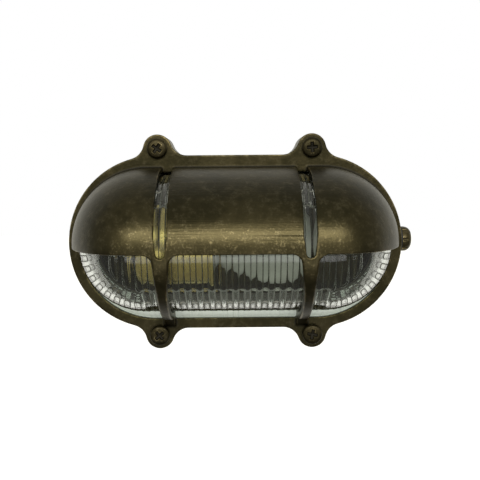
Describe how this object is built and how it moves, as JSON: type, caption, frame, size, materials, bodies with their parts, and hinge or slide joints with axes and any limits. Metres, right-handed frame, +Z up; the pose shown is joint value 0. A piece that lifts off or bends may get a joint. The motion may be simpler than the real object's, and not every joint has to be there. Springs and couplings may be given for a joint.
{
  "type": "bulkhead light",
  "caption": "Oval wall light with a cast brass base, an eyelid hood with slots and guard bars, a ribbed glass lens and a lampholder lying across the inside.",
  "frame": {"origin": "centre of the base's flat back, on the wall", "axes": "+X along the oval towards the blanking plug, +Z up the wall, +Y into the wall, so the lens faces -Y"},
  "size_m": [0.2085, 0.0878, 0.129],
  "materials": {
    "cast_brass": "weathered antique patina, golden where the edges are rubbed",
    "screw_brass": "weathered, rubbed on the crown",
    "turned_brass": "weathered, turned",
    "bright_brass": "spun and lightly tarnished",
    "clear_glass": "pressed, smooth outside and ribbed inside",
    "opal_lamp": "opal globe on a plated screw cap",
    "pale_rubber": "pale silicone, matt",
    "black_rubber": "matt",
    "plated_steel": "zinc plated",
    "white_ceramic": "glazed ceramic",
    "white_plastic": "moulded",
    "brown_sleeve": "wire sleeve",
    "blue_sleeve": "wire sleeve"
  },
  "bodies": {
    "root": {"base": "cast_brass", "front_cover": "cast_brass", "glass_lens": "clear_glass", "seat_gasket": "pale_rubber", "cover_gasket": "pale_rubber", "cover_screws": "screw_brass", "blanking_plug": "turned_brass", "plug_washer": "black_rubber", "holder_bracket": "plated_steel", "bracket_screws": "plated_steel", "holder_nipple": "plated_steel", "holder_locknut": "bright_brass", "holder_cap": "bright_brass", "holder_insert": "white_ceramic", "thread_shell": "bright_brass", "centre_contact": "bright_brass", "holder_skirt": "bright_brass", "lamp": "opal_lamp", "terminal_block": "white_plastic", "terminal_screws": "bright_brass", "block_screw": "plated_steel", "earth_screw": "bright_brass", "earth_washer": "bright_brass", "entry_grommet": "black_rubber", "live_wire": "brown_sleeve", "neutral_wire": "blue_sleeve"}
  },
  "joints": []
}
